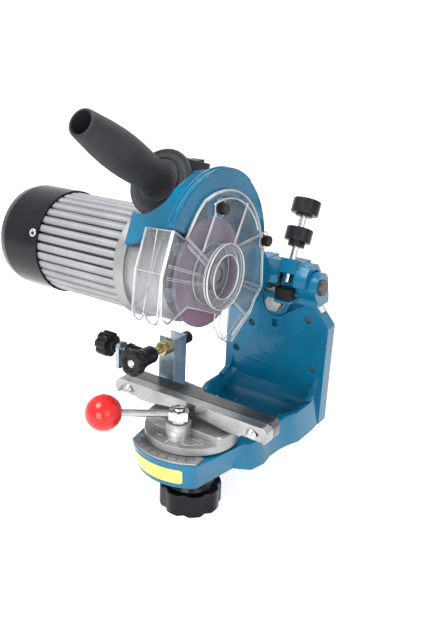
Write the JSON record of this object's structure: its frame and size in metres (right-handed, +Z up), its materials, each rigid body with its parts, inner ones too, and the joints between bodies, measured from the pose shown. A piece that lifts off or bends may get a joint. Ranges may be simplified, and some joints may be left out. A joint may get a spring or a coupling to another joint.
{
  "type": "electric chain sharpener",
  "caption": "Bench or wall mounted saw-chain grinder: tilting motor head with guarded disc, depth screw, swivelling clamp vise and chain stop on a cast base.",
  "frame": {"origin": "on the bench face under the casting, below the front face of the back plate, in the plane of the vise pivot", "axes": "+Z up from the bench, +Y back towards the wall, +X to the right of the operator, along the spindle"},
  "size_m": [0.3133, 0.2666, 0.38],
  "materials": {
    "blue_paint": "gloss",
    "cast_aluminium": "cast",
    "jaw_metal": "satin",
    "dark_jaw_metal": "satin",
    "motor_aluminium": "satin",
    "bright_steel": "plated",
    "dark_steel": "oiled",
    "zinc_steel": "zinc plated",
    "yellow_zinc": "yellow zinc plated",
    "black_plastic": "moulded",
    "grip_plastic": "fine grained",
    "red_plastic": "gloss",
    "clear_plastic": "clear moulded",
    "abrasive": "bonded grit",
    "white_label": "printed"
  },
  "bodies": {
    "casting": {"base_casting": "blue_paint", "vise_scale_plate": "cast_aluminium", "tilt_scale_tag": "white_label", "tilt_bolt": "bright_steel", "tilt_washer": "bright_steel", "tilt_nut": "bright_steel"},
    "bracket": {"hinge_bracket": "blue_paint", "hinge_pin": "dark_steel", "stop_anvil": "black_plastic", "return_spring": "dark_steel"},
    "head": {"head_casting": "blue_paint", "motor_body": "motor_aluminium", "motor_front_shield": "cast_aluminium", "motor_end_cap": "black_plastic", "cap_screw_1": "bright_steel", "cap_screw_2": "bright_steel", "cap_screw_3": "bright_steel", "guard_front": "clear_plastic", "guard_deflector": "clear_plastic", "guard_screw_1": "black_plastic", "guard_screw_2": "black_plastic", "deflector_screw_1": "bright_steel", "deflector_screw_2": "bright_steel", "handle_grip": "grip_plastic", "handle_bolt": "bright_steel", "switch_body": "black_plastic"},
    "rocker": {"switch_rocker": "black_plastic"},
    "spindle_set": {"spindle": "bright_steel", "inner_flange": "bright_steel", "grinding_disc": "abrasive", "outer_flange": "bright_steel", "spindle_nut": "bright_steel"},
    "depth_screw": {"depth_screw": "bright_steel"},
    "depth_knob": {"depth_knob": "black_plastic"},
    "depth_lock_knob": {"depth_lock_knob": "black_plastic"},
    "vise": {"vise_turntable": "cast_aluminium", "rear_jaw": "dark_jaw_metal", "jaw_guide_bolt": "bright_steel", "vise_stud": "bright_steel", "stop_column": "zinc_steel", "stop_nut_1": "yellow_zinc", "stop_nut_2": "yellow_zinc"},
    "vise_lock_knob": {"vise_lock_knob": "black_plastic"},
    "front_jaw": {"front_jaw": "jaw_metal", "jaw_screw_1": "bright_steel", "jaw_screw_2": "bright_steel"},
    "clamp_lever": {"clamp_hub": "bright_steel", "clamp_lever": "bright_steel", "lever_ball": "red_plastic"},
    "stop_carriage": {"stop_rod": "yellow_zinc", "stop_rod_cap": "black_plastic", "stop_block": "black_plastic"},
    "stop_adjust_knob": {"stop_adjust_knob": "black_plastic"},
    "stop_cross_rod": {"stop_cross_rod": "bright_steel"},
    "stop_end_knob": {"stop_end_knob": "black_plastic"},
    "stop_pawl": {"stop_pawl": "zinc_steel"}
  },
  "joints": [
    {"name": "head_tilt", "type": "hinge", "parent": "casting", "child": "bracket", "pos_m": [0.007, 0, 0.128], "axis": [0, 1, 0], "range_deg": [-15, 15]},
    {"name": "head_chop", "type": "hinge", "parent": "bracket", "child": "head", "pos_m": [0, -0.02, 0.161], "axis": [1, 0, 0], "range_deg": [0, 14], "stiffness_Nm_per_rad": 12, "springref_deg": -51.57},
    {"name": "spindle_spin", "type": "hinge", "parent": "head", "child": "spindle_set", "pos_m": [0, -0.132, 0.1887], "axis": [1, 0, 0], "continuous": true},
    {"name": "switch_rock", "type": "hinge", "parent": "head", "child": "rocker", "pos_m": [-0.032, -0.11288, 0.28287], "axis": [1, 0, 0], "range_deg": [-8, 0]},
    {"name": "depth_slide", "type": "slide", "parent": "head", "child": "depth_screw", "axis": [0, 0.3827, 0.9239], "range_m": [-0.0025, 0.004]},
    {"name": "depth_turn", "type": "hinge", "parent": "depth_screw", "child": "depth_knob", "pos_m": [0.036, -0.03589, 0.16758], "axis": [0, 0.3827, 0.9239], "range_deg": [-725, 1160]},
    {"name": "depth_lock_turn", "type": "hinge", "parent": "depth_screw", "child": "depth_lock_knob", "pos_m": [0.036, -0.03589, 0.16758], "axis": [0, 0.3827, 0.9239], "range_deg": [-360, 360]},
    {"name": "vise_swivel", "type": "hinge", "parent": "casting", "child": "vise", "pos_m": [0, -0.14, 0.03], "axis": [0, 0, 1], "range_deg": [-35, 35]},
    {"name": "vise_lock_turn", "type": "hinge", "parent": "vise", "child": "vise_lock_knob", "pos_m": [0, -0.14, -0.03], "axis": [0, 0, 1], "range_deg": [-360, 360]},
    {"name": "clamp_turn", "type": "hinge", "parent": "vise", "child": "clamp_lever", "pos_m": [0.002, -0.166, 0.06], "axis": [0, 0, 1], "range_deg": [0, 60]},
    {"name": "jaw_slide", "type": "slide", "parent": "vise", "child": "front_jaw", "axis": [0, 1, 0], "range_m": [-0.0024, 0]},
    {"name": "stop_slide", "type": "slide", "parent": "vise", "child": "stop_carriage", "axis": [0, 1, 0], "range_m": [-0.002, 0.006]},
    {"name": "stop_adjust_turn", "type": "hinge", "parent": "stop_carriage", "child": "stop_adjust_knob", "pos_m": [-0.054, -0.164, 0.095], "axis": [0, 1, 0], "range_deg": [-180, 180]},
    {"name": "cross_slide", "type": "slide", "parent": "stop_carriage", "child": "stop_cross_rod", "axis": [1, 0, 0], "range_m": [-0.004, 0.004]},
    {"name": "end_knob_turn", "type": "hinge", "parent": "stop_cross_rod", "child": "stop_end_knob", "pos_m": [-0.103, -0.145, 0.095], "axis": [1, 0, 0], "range_deg": [-1460, 1460]},
    {"name": "pawl_flip", "type": "hinge", "parent": "stop_cross_rod", "child": "stop_pawl", "pos_m": [-0.086, -0.145, 0.095], "axis": [1, 0, 0], "range_deg": [0, 80]}
  ],
  "couplings": [
    {"joint": "depth_turn", "follows": "depth_slide", "rad_per_m": 5026.5},
    {"joint": "jaw_slide", "follows": "clamp_turn", "m_per_rad": -0.00229},
    {"joint": "end_knob_turn", "follows": "cross_slide", "rad_per_m": 6283.2}
  ]
}
